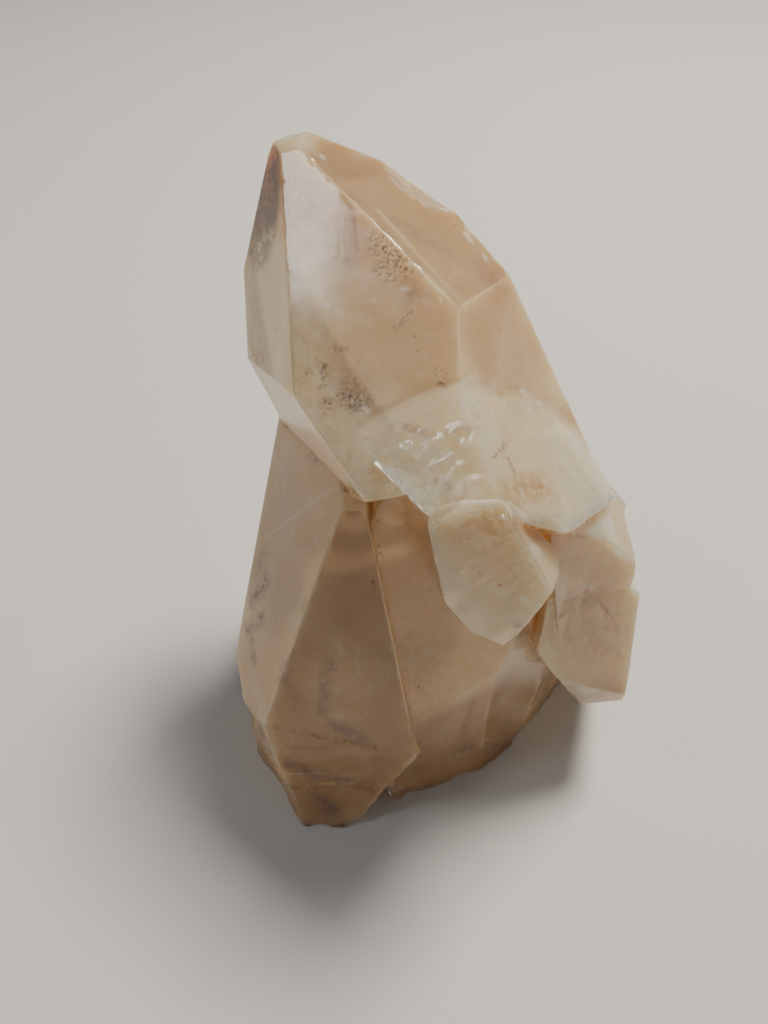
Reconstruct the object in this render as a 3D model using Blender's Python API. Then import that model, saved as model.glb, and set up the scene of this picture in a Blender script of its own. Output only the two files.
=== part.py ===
"""Quartz point: quartz crystals grown together into one solid, standing on their broken base.

The tables below are in millimetres and degrees, and the mesh is made in metres. +Z is up, +X is
right and -Y is the front, where the big point shows its broad face. Every crystal or broken mass
is a convex block: a rough lump that is cleaved along flat faces. A face is written as
(azimuth, elevation, distance): the way it looks, turned from +X towards +Y and raised from the
horizontal, and how far it lies from the middle of its block. The blocks are joined into one solid,
chipped, cut off flat at the base and stood with the middle of the base box at the origin.
"""

import math
from dataclasses import dataclass, field

import bmesh
import bpy
from mathutils import Vector, noise

MM = 0.001

# Every edge of a block is blunted by a narrow flat about this wide.
WEAR_WIDTH = 0.3
# Broken surfaces are divided into squares of this size, so that they can carry ripples.
BROKEN_GRAIN = 2.0
# A ripple fades out over this height where a smooth face turns into a broken one.
RIPPLE_FADE = 6.0
# The slow swell under the rings of a broken surface is about this wide.
SWELL_WIDTH = 4.5
# A rough lump is this wide before it is cleaved, so every face below cuts it.
ROUGH_SIZE = 160.0
# Corners nearer to each other than this are one corner.
WELD = 0.02
# The feet reach this far below the ground before the flat base is cut.
FOOT_DEPTH = 3.0
BASE_CUT_DEPTH = 30.0
CHIP_SUBDIVISIONS = 3
WHOLE = 99.0

QUARTZ_COLOUR = (0.62, 0.50, 0.40, 1.0)
QUARTZ_ROUGHNESS = 0.18
QUARTZ_IOR = 1.544
QUARTZ_TRANSMISSION = 0.85


@dataclass(frozen=True)
class Ripple:
    """Shell-shaped fracture rings around a strike point, with a slower swell under them."""

    strike: tuple
    spacing: float
    height: float
    swell: float


@dataclass(frozen=True)
class Block:
    """One crystal or broken mass: its middle, its named faces and its surface.

    broken names the faces that are broken and not grown, each with the height up to which it is.
    """

    centre: tuple
    faces: dict
    broken: dict = field(default_factory=dict)
    ripple: Ripple = None


# The big point: six-sided, leaning left, with its tip blunted. The caps slope in to the tip at
# about 52 degrees from the long axis, and the prism faces stand 60 degrees apart around it.
BIG_POINT = Block(
    centre=(-5.5, 6.5, 49.5),
    faces={
        "front_cap": (-114, 47, 12.0),
        "left_cap": (-158, 20, 13.0),
        "right_cap": (-20, 68, 14.5),
        "back_left_cap": (152, 12, 19.5),
        "back_right_cap": (64, 48, 19.7),
        "worn_back_edge": (35, 48, 17.0),
        "back_cap": (106, 20, 19.5),
        "front_prism": (-91, 14, 18.0),
        "left_prism": (-148, -12, 12.0),
        "back_left_prism": (153, -31, 12.5),
        "back_prism": (89, -14, 15.5),
        "back_right_prism": (28, 20, 13.7),
        "right_prism": (-32, 33, 14.5),
        "blunt_tip": (-155, 70, 20.5),
        "hidden_end": (-75, -52, 12.0),
    },
)

# The crystal at the lower left: three tapering faces over the broken foot.
LEFT_CRYSTAL = Block(
    centre=(-11.5, 0.0, 12.5),
    faces={
        "front": (-90, 18, 19.5),
        "left": (-154, 25, 16.5),
        "upper_left": (-158, 26, 16.5),
        "right": (-10, 13, 12.5),
        "back_left": (173, 10, 12.5),
        "foot_left": (-145, 1, 18.0),
        "foot_back_left": (-166, 2, 15.0),
        "foot_right": (-38, -15, 19.5),
        "back": (95, 6, 12.0),
        "top": (-170, 58, 29.0),
        "front_top": (-90, 45, 29.8),
        "sole": (0, -90, 12.5 + FOOT_DEPTH),
    },
    broken={
        "front": 12.0,
        "left": 6.0,
        "foot_left": WHOLE,
        "foot_back_left": WHOLE,
        "foot_right": WHOLE,
        "back_left": WHOLE,
        "back": WHOLE,
    },
    ripple=Ripple(strike=(-14.0, -22.0, -6.0), spacing=4.6, height=0.35, swell=0.9),
)

# The mass at the lower right: a smooth upper face over a steep broken foot.
RIGHT_MASS = Block(
    centre=(6.0, 3.0, 15.0),
    faces={
        "smooth_front": (-76, 20, 18.5),
        "foot_front": (-70, 6, 17.5),
        "foot_right": (-52, 5, 15.0),
        "foot_far_right": (-38, 2, 14.5),
        "left_front": (-90, 18, 21.0),
        "left": (171, -12, 9.8),
        "right": (-5, 5, 19.0),
        "back": (100, 5, 18.5),
        "back_right": (50, 8, 20.0),
        "top": (-75, 60, 34.5),
        "back_top": (55, 40, 14.5),
        "left_top": (175, 30, 24.5),
        "sole": (0, -90, 15.0 + FOOT_DEPTH),
    },
    broken={
        "foot_front": 10.0,
        "foot_right": 14.0,
        "foot_far_right": WHOLE,
        "right": WHOLE,
        "back": WHOLE,
        "back_right": WHOLE,
        "back_top": WHOLE,
    },
    ripple=Ripple(strike=(30.0, 8.0, 30.0), spacing=5.2, height=0.35, swell=0.8),
)

# The ledge: a broken shelf in front of the big point, rippled where it snapped.
LEDGE = Block(
    centre=(3.0, -5.0, 46.0),
    faces={
        "left_top": (-121, 51.5, 10.3),
        "right_top": (-15, 46, 7.0),
        "far_right_top": (-1, 43, 8.0),
        "left_side": (-178, -11, 9.0),
        "left_rim": (-145, -34, 6.5),
        "front_rim": (-95, -36, 6.9),
        "right_rim": (-54, -33, 10.5),
        "underside": (-80, -80, 11.0),
        "far_right": (32, 6, 14.0),
        "back": (90, 0, 7.0),
    },
    broken={"left_top": WHOLE, "right_top": WHOLE, "far_right_top": WHOLE, "far_right": WHOLE},
    ripple=Ripple(strike=(14.0, 4.0, 52.0), spacing=3.4, height=0.25, swell=0.35),
)

# The small crystal under the ledge: its end faces the front, with growth steps at the right.
MIDDLE_CRYSTAL = Block(
    centre=(5.5, -11.0, 40.5),
    faces={
        "upper_end": (-97, 12, 8.5),
        "lower_end": (-101, 2, 8.3),
        "growth_step": (-87, 19, 9.0),
        "right_step": (-4, 32, 5.5),
        "left": (179, -12, 5.5),
        "lower_left": (-146, -26, 8.0),
        "lower": (-122, -39, 9.0),
        "lower_right": (-31, -17, 6.5),
        "right": (-21, -26, 5.5),
        "top": (94, 36, 3.0),
        "right_top": (35, 36, 3.7),
        "left_top": (178, 41, 11.5),
        "back": (90, 0, 5.5),
    },
)

# The small crystal at the right, hanging clear of the ground.
RIGHT_CRYSTAL = Block(
    centre=(18.0, -4.5, 21.5),
    faces={
        "end": (-73, 15, 8.5),
        "right_end": (-65, 19, 8.5),
        "top_left": (128, 75, 10.5),
        "left": (177, 3, 6.5),
        "lower_left": (-160, -29, 6.5),
        "lower_end": (-90, -14, 10.5),
        "right": (-8, 5, 6.5),
        "back": (90, 0, 6.5),
        "top": (40, 45, 6.5),
        "underside": (-60, -60, 13.0),
    },
)

# The broken mass between the ledge and the small crystal at the right.
RIGHT_SHOULDER = Block(
    centre=(16.5, -5.5, 34.5),
    faces={
        "front": (-67, 10, 5.0),
        "lower_front": (-73, 9, 5.5),
        "right": (0, 4, 5.4),
        "top_right": (-10, 38, 4.5),
        "left": (-170, -10, 5.5),
        "underside": (-60, -50, 10.5),
        "back": (90, 0, 4.5),
        "top": (-15, 46, 4.9),
    },
    broken={"front": WHOLE, "lower_front": WHOLE, "right": WHOLE, "top_right": WHOLE, "top": WHOLE},
    ripple=Ripple(strike=(24.0, -2.0, 44.0), spacing=3.8, height=0.2, swell=0.5),
)

BLOCKS = {
    "big_point": BIG_POINT,
    "left_crystal": LEFT_CRYSTAL,
    "right_mass": RIGHT_MASS,
    "ledge": LEDGE,
    "middle_crystal": MIDDLE_CRYSTAL,
    "right_crystal": RIGHT_CRYSTAL,
    "right_shoulder": RIGHT_SHOULDER,
}


# Shell-shaped chips: the middle and the radius of the ball that leaves each one.
CHIPS = {
    "notch_behind_tip": ((1.9, 17.0, 73.0), 10.0),
    "nick_on_back_corner": ((4.4, 12.4, 64.3), 2.6),
    "nick_at_tip": ((-15.2, 17.6, 74.2), 4.6),
    "bite_under_left_foot": ((-8.4, -25.2, -0.6), 2.6),
    "bite_between_feet": ((-5.8, -21.9, -0.8), 2.4),
    "bite_beside_feet": ((-2.0, -21.6, -0.8), 2.2),
    "bite_in_left_foot": ((-20.9, -20.4, -0.8), 2.5),
    "bite_in_front_foot": ((-14.0, -25.9, -0.8), 2.3),
    "bite_in_right_foot": ((5.4, -19.2, -1.0), 2.7),
    "bite_in_far_foot": ((14.6, -12.2, -1.2), 3.2),
    "bite_at_back": ((10.0, 30.5, -2.0), 8.0),
    "scoop_in_back": ((20.5, 20.5, 27.5), 14.0),
    "scoop_at_left_back": ((-11.0, 23.0, 24.0), 12.5),
}

MATERIAL_NAME = "quartz"
NODE_NAME = "quartz_point"


def direction(azimuth, elevation):
    """The unit vector that looks along an azimuth and an elevation in degrees."""
    turn, rise = math.radians(azimuth), math.radians(elevation)
    return Vector((math.cos(rise) * math.cos(turn), math.cos(rise) * math.sin(turn), math.sin(rise)))


def link(name, bm):
    """Turn a finished bmesh into an object of the scene."""
    mesh = bpy.data.meshes.new(name)
    bm.to_mesh(mesh)
    bm.free()
    obj = bpy.data.objects.new(name, mesh)
    bpy.context.scene.collection.objects.link(obj)
    return obj


def cleave(bm, point, normal, mark):
    """Cut away all that lies beyond a plane, and close the cut with one flat, marked face."""
    cut = bmesh.ops.bisect_plane(
        bm,
        geom=bm.verts[:] + bm.edges[:] + bm.faces[:],
        plane_co=point,
        plane_no=normal,
        clear_outer=True,
    )
    rim = [item for item in cut["geom_cut"] if isinstance(item, bmesh.types.BMEdge)]
    if rim:
        for face in bmesh.ops.edgeloop_fill(bm, edges=rim)["faces"]:
            face.material_index = mark


def blunt(bm, limits):
    """Take the sharpness off every edge of a block by cleaving a narrow flat along it."""
    bm.normal_update()
    flats = []
    for edge in bm.edges:
        first, second = edge.link_faces
        normal = (first.normal + second.normal).normalized()
        depth = 0.5 * WEAR_WIDTH * MM * math.sin(0.5 * first.normal.angle(second.normal))
        mark = min(first.material_index, second.material_index, key=lambda index: limits[index])
        flats.append((edge.verts[0].co - normal * depth, normal, mark))
    for point, normal, mark in flats:
        cleave(bm, point, normal, mark)


def score(bm, is_broken):
    """Divide the broken faces into squares along the three axes, without changing their shape."""
    low = [min(vert.co[axis] for vert in bm.verts) for axis in range(3)]
    high = [max(vert.co[axis] for vert in bm.verts) for axis in range(3)]
    for axis in range(3):
        normal = Vector([1.0 if index == axis else 0.0 for index in range(3)])
        for step in range(1, math.ceil((high[axis] - low[axis]) / (BROKEN_GRAIN * MM))):
            faces = [face for face in bm.faces if is_broken(face)]
            edges = {edge for face in faces for edge in face.edges}
            verts = {vert for face in faces for vert in face.verts}
            bmesh.ops.bisect_plane(
                bm,
                geom=faces + list(edges) + list(verts),
                plane_co=normal * (low[axis] + step * BROKEN_GRAIN * MM),
                plane_no=normal,
            )


def sink(bm, centre, ripple, limits):
    """Lower the broken faces towards the middle of the block, in rings around the strike point."""
    strike = Vector(ripple.strike) * MM
    for vert in bm.verts:
        limit = min(limits[face.material_index] for face in vert.link_faces)
        share = min(max((limit - vert.co.z / MM) / RIPPLE_FADE, 0.0), 1.0)
        rings = 0.5 + 0.5 * math.sin(2.0 * math.pi * (vert.co - strike).length / (ripple.spacing * MM))
        swell = 0.5 + 0.5 * noise.noise(vert.co / (SWELL_WIDTH * MM))
        depth = share * (ripple.height * rings + ripple.swell * swell) * MM
        vert.co += (centre - vert.co).normalized() * depth


def grow(name, block):
    """Make one block as an object: cleave a lump along its faces, blunt its edges, ripple it."""
    bm = bmesh.new()
    centre = Vector(block.centre) * MM
    bmesh.ops.create_cube(bm, size=ROUGH_SIZE * MM)
    bmesh.ops.translate(bm, verts=bm.verts, vec=centre)
    for mark, (azimuth, elevation, distance) in enumerate(block.faces.values()):
        normal = direction(azimuth, elevation)
        cleave(bm, centre + normal * distance * MM, normal, mark)
    limits = [block.broken.get(face_name, -WHOLE) for face_name in block.faces]
    blunt(bm, limits)
    bmesh.ops.remove_doubles(bm, verts=bm.verts, dist=WELD * MM)
    if block.broken:
        score(bm, lambda face: face.calc_center_median().z / MM < limits[face.material_index])
        bmesh.ops.remove_doubles(bm, verts=bm.verts, dist=WELD * MM)
        sink(bm, centre, block.ripple, limits)
    bmesh.ops.triangulate(bm, faces=bm.faces)
    for face in bm.faces:
        face.material_index = 0
    bmesh.ops.recalc_face_normals(bm, faces=bm.faces)
    return link(name, bm)


def chip_cutter(name, centre, radius):
    """A ball that bites a shell-shaped chip out of the solid."""
    bm = bmesh.new()
    bmesh.ops.create_icosphere(bm, subdivisions=CHIP_SUBDIVISIONS, radius=radius * MM)
    bmesh.ops.translate(bm, verts=bm.verts, vec=Vector(centre) * MM)
    return link(name, bm)


def base_cutter():
    """A slab whose upper face is the flat cut that the solid stands on."""
    bm = bmesh.new()
    bmesh.ops.create_cube(bm, size=1.0)
    bmesh.ops.scale(bm, verts=bm.verts, vec=Vector((ROUGH_SIZE, ROUGH_SIZE, BASE_CUT_DEPTH)) * MM)
    bmesh.ops.translate(bm, verts=bm.verts, vec=Vector((0.0, 0.0, -0.5 * BASE_CUT_DEPTH * MM)))
    return link("base_cut", bm)


def boolean(target, tool, operation):
    """Add an exact Boolean to the target, and hide the tool from the result."""
    tool.hide_render = True
    tool.display_type = "WIRE"
    modifier = target.modifiers.new(tool.name, "BOOLEAN")
    modifier.operation = operation
    modifier.solver = "EXACT"
    modifier.object = tool


def bake(obj):
    """Replace an object's mesh with its evaluated one, and drop its modifiers."""
    evaluated = obj.evaluated_get(bpy.context.evaluated_depsgraph_get())
    mesh = bpy.data.meshes.new_from_object(evaluated)
    obj.modifiers.clear()
    obj.data = mesh


def clean(obj):
    """Weld the specks that the cuts leave, so that every edge joins two faces."""
    bm = bmesh.new()
    bm.from_mesh(obj.data)
    bmesh.ops.remove_doubles(bm, verts=bm.verts, dist=WELD * MM)
    bmesh.ops.dissolve_degenerate(bm, edges=bm.edges, dist=WELD * MM)
    bmesh.ops.triangulate(bm, faces=bm.faces)
    bmesh.ops.dissolve_degenerate(bm, edges=bm.edges, dist=WELD * MM)
    bm.to_mesh(obj.data)
    bm.free()


def stand_at_origin(obj):
    """Move the mesh so that the middle of the bottom of its box is the origin."""
    low = [min(vert.co[axis] for vert in obj.data.vertices) for axis in range(3)]
    high = [max(vert.co[axis] for vert in obj.data.vertices) for axis in range(3)]
    middle = Vector((0.5 * (low[0] + high[0]), 0.5 * (low[1] + high[1]), low[2]))
    for vert in obj.data.vertices:
        vert.co -= middle


def quartz_material():
    """Warm, cloudy, see-through quartz."""
    material = bpy.data.materials.new(MATERIAL_NAME)
    material.use_nodes = True
    shader = material.node_tree.nodes["Principled BSDF"]
    shader.inputs["Base Color"].default_value = QUARTZ_COLOUR
    shader.inputs["Roughness"].default_value = QUARTZ_ROUGHNESS
    shader.inputs["Metallic"].default_value = 0.0
    shader.inputs["IOR"].default_value = QUARTZ_IOR
    shader.inputs["Transmission Weight"].default_value = QUARTZ_TRANSMISSION
    return material


def main():
    for obj in list(bpy.data.objects):
        bpy.data.objects.remove(obj, do_unlink=True)
    blocks = [grow(name, block) for name, block in BLOCKS.items()]
    solid = blocks[0]
    for block in blocks[1:]:
        boolean(solid, block, "UNION")
    boolean(solid, base_cutter(), "DIFFERENCE")
    for name, (centre, radius) in CHIPS.items():
        boolean(solid, chip_cutter(name, centre, radius), "DIFFERENCE")
    bake(solid)
    clean(solid)
    stand_at_origin(solid)
    solid.name = NODE_NAME
    solid.data.name = NODE_NAME
    solid.data.materials.clear()
    solid.data.materials.append(quartz_material())


if __name__ == "__main__":
    main()
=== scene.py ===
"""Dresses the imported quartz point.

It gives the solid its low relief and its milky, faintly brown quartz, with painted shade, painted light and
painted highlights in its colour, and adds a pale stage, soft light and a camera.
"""

import logging
import math
from dataclasses import dataclass
from enum import Enum
from typing import Sequence

import bmesh
import bpy
import numpy as np
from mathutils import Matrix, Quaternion, Vector, noise


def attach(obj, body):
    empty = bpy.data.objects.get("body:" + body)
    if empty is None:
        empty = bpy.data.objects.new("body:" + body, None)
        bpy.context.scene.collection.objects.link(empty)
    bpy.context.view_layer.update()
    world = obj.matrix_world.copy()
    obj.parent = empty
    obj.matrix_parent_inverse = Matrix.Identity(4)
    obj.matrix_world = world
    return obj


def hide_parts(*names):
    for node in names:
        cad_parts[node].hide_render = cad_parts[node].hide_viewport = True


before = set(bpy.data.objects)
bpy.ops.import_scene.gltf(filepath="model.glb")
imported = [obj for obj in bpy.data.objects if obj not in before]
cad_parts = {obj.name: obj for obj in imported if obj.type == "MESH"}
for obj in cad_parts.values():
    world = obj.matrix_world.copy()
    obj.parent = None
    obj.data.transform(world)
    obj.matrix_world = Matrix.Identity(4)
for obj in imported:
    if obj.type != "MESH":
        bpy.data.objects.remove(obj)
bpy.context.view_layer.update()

MM = 0.001
NODE = "quartz_point"
BODY = "root"
EDGE = "edge"  # the point amount that says how near the stone's edges are

log = logging.getLogger("quartz_point_looks")

Colour = tuple[float, float, float]
Facing = tuple[float, float]  # azimuth and elevation, in degrees
Waves = tuple[float, float]  # a rumble's scale and shift


def in_mm(place: Sequence[float]) -> Vector:
    """A place given in millimetres, as a vector in metres."""
    return Vector(place) * MM


def direction(azimuth: float, elevation: float) -> np.ndarray:
    """The unit direction at an azimuth and elevation in degrees."""
    turn, rise = math.radians(azimuth), math.radians(elevation)
    return np.array([math.cos(turn) * math.cos(rise), math.sin(turn) * math.cos(rise), math.sin(rise)])


def degrees_off(normals: np.ndarray, facing: Facing) -> np.ndarray:
    """How far each direction turns from an azimuth and elevation, in degrees."""
    return np.degrees(np.arccos(np.clip(normals @ direction(*facing), -1.0, 1.0)))


def clipped(values: np.ndarray) -> np.ndarray:
    """The values, kept from 0 to 1."""
    return np.clip(values, 0.0, 1.0)


def eased(shares: np.ndarray) -> np.ndarray:
    """Shares from 0 to 1, with soft ends."""
    return shares * shares * (3.0 - 2.0 * shares)


def rumble(places: np.ndarray, scale: float, shift: float = 0.0) -> np.ndarray:
    """Smooth noise at each place, about -1 to 1.

    Args:
        places: Places in millimetres, one row each.
        scale: Waves a millimetre.
        shift: Moves the noise, so that two uses differ.

    Returns:
        The noise.
    """
    points = (places * scale + shift).tolist()
    return np.array([noise.noise(point) for point in points])


class Tint(Enum):
    """What a mark does to the stone. The value is the name of its point amount."""

    # milky clouds, and painted light on one dim face
    CLOUD_AND_LIGHT = "cloud_and_light"
    # milky threads, and painted highlight along the ledge's crest
    THREAD = "thread_and_highlight"
    RUST = "rust"
    # dark clouds in the stone, and painted shade on the clearer left corner
    SMUDGE_AND_SHADE = "smudge_and_shade"
    # dark hair lines, and painted shade along the ledge's crest
    LINE = "line"
    SPECK = "speck"
    # painted highlight: near-white spots standing in for glints of light
    PAINTED_GLINT = "painted_glint"
    # browner haze, and painted shade on dim faces, near the floor and on the clearer corner
    SMOKE = "smoke_and_shade"
    BROKEN = "broken"


THIN_TINTS = (Tint.THREAD, Tint.LINE, Tint.SPECK, Tint.PAINTED_GLINT)
MARK_FADE = 1.6  # a mark is gone at this many times its reach
TONE_FADE = 1.25  # a tone is gone at this many times its reach
TONE_HEM = 0.35  # and fades over this share of its reach
TONE_TURN = 3.0  # degrees past its spread where a tone is gone


@dataclass(frozen=True)
class Mark:
    """One mark, along the line from start to end, in millimetres. Most are the stone's own marks; some are
    painted shade, painted light and painted highlight.
    """

    tint: Tint
    start: Sequence[float]
    end: Sequence[float]
    reach: float
    strength: float

    def distance(self, places: np.ndarray) -> np.ndarray:
        """How far each place lies from the mark's line.

        Args:
            places: Places in millimetres, one row each.

        Returns:
            The distances in millimetres.
        """
        start = np.array(self.start)
        run = np.array(self.end) - start
        length_squared = max(float(run @ run), 1e-9)
        along = clipped((places - start) @ run / length_squared)
        return np.linalg.norm(places - start - along[:, None] * run, axis=1)

    def boxed(self, places: np.ndarray) -> np.ndarray:
        """Finds the places inside the mark's own box.

        Args:
            places: Places in millimetres, one row each.

        Returns:
            Their row numbers.
        """
        room = MARK_FADE * self.reach
        low, high = np.minimum(self.start, self.end) - room, np.maximum(self.start, self.end) + room
        return np.nonzero(((places >= low) & (places <= high)).all(axis=1))[0]

    def weight(self, places: np.ndarray) -> np.ndarray:
        """How strongly each place is marked, from 0 to 1."""
        return self.strength * eased(clipped(1.0 - self.distance(places) / (MARK_FADE * self.reach)))


@dataclass(frozen=True)
class FacetTone(Mark):
    """A broad mark laid only over faces that look within a spread of facing, in degrees.

    It stops at the plane past, given by its azimuth, elevation and distance.
    """

    facing: Facing
    spread: float
    past: tuple[float, float, float] = (0, 0, -1000)

    def weight_on(self, places: np.ndarray, normals: np.ndarray) -> np.ndarray:
        """How strongly each place is toned.

        Args:
            places: Places in millimetres, one row each.
            normals: The surface's directions there.

        Returns:
            The weights, from 0 to 1.
        """
        near = clipped((TONE_FADE - self.distance(places) / self.reach) / TONE_HEM)
        faces_it = clipped((self.spread - degrees_off(normals, self.facing)) / TONE_TURN + 1.0)
        is_past = places @ direction(*self.past[:2]) > self.past[2]
        return self.strength * eased(near) * faces_it * is_past


Marks = tuple[Mark, ...]
Tones = tuple[FacetTone, ...]


def marks_of(tint: Tint, *rows: tuple[Sequence[float], Sequence[float], float, float]) -> Marks:
    """Marks of one tint, from rows of start, end, reach and strength."""
    return tuple(Mark(tint, *row) for row in rows)


def dots_of(tint: Tint, *rows: tuple[Sequence[float], float, float]) -> Marks:
    """Round marks of one tint, from rows of place, reach and strength."""
    return tuple(Mark(tint, place, place, reach, strength) for place, reach, strength in rows)


def tones_of(tint: Tint, *rows: tuple) -> Tones:
    """Tones of one tint, from rows of start, end, reach, strength, facing, spread and, if any, past."""
    return tuple(FacetTone(tint, *row) for row in rows)


def chain_of(tint: Tint, reach: float, strength: float, *places: Sequence[float]) -> Marks:
    """A line of marks of one tint, from place to place."""
    return tuple(Mark(tint, start, end, reach, strength) for start, end in zip(places, places[1:]))


@dataclass(frozen=True)
class MarksAndPaintedLight:
    """All the marks that can be pointed to one by one, and the broader tones of single faces. Most are the
    stone's own; some are painted shade, painted light and painted highlight.
    """

    smoke_and_shade_tones: Tones = tones_of(
        Tint.SMOKE,
        # partly a browner tone, partly painted shade on the dim front face of the lower left crystal
        ((-12, -18, 6), (-12, -15, 34), 14, 0.85, (-90, 18), 9, (170, -13, -4.05)),
        ((-21, -9, 8), (-18, -7, 30), 11, 0.17, (-154, 25), 9),
        # partly a browner tone, partly painted shade on the foot's face under the overhanging crystals
        ((0, -18, 7), (14, -12, 10), 10, 1, (-62, 8), 42),
        ((-4.5, 5, 65), (-4, 0, 60), 8, 0.36, (-114, 47), 14),
        ((4, 2, 59), (8, -1, 56), 6, 0.36, (-32, 33), 14),
        # painted shade: darkens the clearer left corner as if the dark surroundings showed through it
        ((-19.5, 17, 67), (-19.3, 14, 62), 4.2, 0.85, (-158, 20), 12),
        ((4, 8, 62), (-4, 12, 66), 10, 0.75, (-20, 68), 9),
        ((0, 8, 4), (0, 8, 22), 26, 0.35, (90, 0), 95),
        ((-2, 24, 58), (2, 20, 50), 7, 0.5, (80, 10), 70),
        ((20, 4, 20), (18, 12, 22), 7, 0.45, (20, 0), 70),
    )
    cloud_and_light_tones: Tones = tones_of(
        Tint.CLOUD_AND_LIGHT,
        ((-2, -17, 16), (-3, -12, 45), 12, 0.12, (-76, 20), 9),
        ((3, -19, 44), (4, -19, 38), 6, 0.7, (-101, 2), 8),
        ((3, -18, 48), (4, -18, 44), 6, 0.8, (-95, 14), 14),
        ((16, -12, 30), (17, -12, 24), 8, 0.42, (-70, 15), 42),
        ((13, -11, 39), (20, -7, 36), 6, 0.62, (-62, 12), 38),
        ((-4, -10.5, 52), (-1, -9, 54), 5.5, 0.95, (-90, 56), 60, (-51.71, -42.93, -35.16)),
        ((-1, -12, 52), (9, -7, 49), 6.5, 0.6, (-50, 56), 60, (-99.21, -52.2, -40.72)),
        ((13.3, -5, 45.7), (16.3, -5.8, 42.8), 5, 0.9, (-30, 50), 60),
        ((9, 2, 54), (12, -2, 48), 6, 0.25, (-32, 33), 12),
        ((-8.5, -10.8, 50.4), (-12, -8, 51.5), 5, 0.85, (-114, 47), 14),
        # painted light: lightens the left face below the tip, which the lamps light only dimly
        ((-18.8, 8, 57), (-19, 4, 52), 6, 1, (-158, 20), 14),
        ((-8, 20, 42), (-14, 22, 28), 8, 0.6, (120, -10), 75),
        ((14, 20, 12), (24, 10, 8), 8, 0.5, (50, 0), 70),
        ((16, 8, 46), (18, 6, 36), 6, 0.6, (20, 0), 70),
    )
    rusty_tones: Tones = tones_of(
        Tint.RUST,
        ((-2, -17, 16), (-3, -12, 45), 12, 0.16, (-76, 20), 9),
        ((13, -11, 39), (20, -7, 36), 6, 0.12, (-62, 12), 38),
        ((-19, 9, 57), (-20, 6, 52), 5, 0.16, (-158, 20), 14),
        ((-17, 2, 50), (-14, -2, 45), 6, 0.36, (-148, -12), 10),
    )
    painted_shade_tones: Tones = tones_of(
        Tint.SMUDGE_AND_SHADE,
        # painted shade: darkens the clearer left corner as if the dark surroundings showed through it
        ((-19.5, 17, 67), (-19.3, 14, 62), 4.2, 1, (-158, 20), 12),
    )
    broken_ground: Tones = tones_of(
        Tint.BROKEN,
        ((1.6, 16.7, 73), (1.6, 16.7, 73), 6, 1, (-20, 60), 180),
        ((20, 20, 27.5), (20, 20, 27.5), 14, 0.9, (45, 0), 70),
        ((-11.3, 22.7, 24), (-11.3, 22.7, 24), 13, 0.9, (120, 0), 70),
        ((9.7, 30, -2), (9.7, 26, 8), 9, 1, (90, 0), 80),
        ((-6, -13, 50), (4, -16, 49), 3, 0.5, (-90, 20), 60),
        ((15, -11, 21), (20, -9, 21), 4, 0.7, (-70, -40), 70),
    )
    clouds: Marks = marks_of(
        Tint.CLOUD_AND_LIGHT,
        ((-5.3, -8.3, 53.8), (4.8, -4.5, 53.7), 2.2, 0.7),
        ((-6.8, -10, 51.7), (-3.2, -14.7, 50.2), 1.8, 0.9),
        ((13.6, -3, 45.9), (16.5, -6.6, 42.4), 4, 1),
        ((10.5, -12, 46.6), (12.1, -12.4, 45.1), 2.5, 0.6),
        ((-0.4, -11.6, 53.1), (1.3, -14.3, 52), 3.2, 0.5),
        ((-13.1, -1.9, 56.2), (-11.4, -4.4, 54.8), 1.5, 0.85),
        ((-21.7, -15.3, 18.4), (-20.6, -18.3, 17.7), 1.8, 0.5),
        ((-5.6, -12.6, 50.7), (-4.7, -9.1, 44.7), 1.5, 0.5),
        ((-0.3, -18.4, 44.9), (6, -19.9, 40.8), 2.6, 0.45),
        ((8.3, -14.4, 13.8), (13.3, -11.1, 4.4), 2, 0.35),
        ((-9.9, -7.7, 52.5), (-6.8, -6.7, 54.5), 2.2, 0.6),
        ((8.4, 0.8, 53.2), (12.2, 0.7, 48.1), 3, 0.4),
        ((-17.6, 2.1, 40.9), (-17.2, -4.3, 36.8), 2.4, 0.45),
        ((-11.4, -15.5, 29), (-11, -15.9, 27.6), 0.4, 0.3),
        ((-12.2, -18.7, 19), (-11.4, -18.9, 18.4), 0.4, 0.5),
        ((-10, -9.1, 51.2), (-9.3, -11.2, 49.8), 1.4, 0.5),
        ((-16, 16.7, 69.6), (-14.1, 15.4, 69.6), 1.2, 0.6),
        ((-4.8, -9.4, 53), (-1.3, -12.6, 52.2), 2.6, 0.5),
        ((-12.4, 2.4, 60.2), (-10, 0.7, 59.7), 1.6, 0.25),
        ((-6.9, 2.6, 62.4), (-4.8, 0.5, 61.4), 1.6, 0.25),
        ((-14.6, 1.7, 58.7), (-12.7, -4.2, 54.4), 1.7, 0.5),
    )
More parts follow.
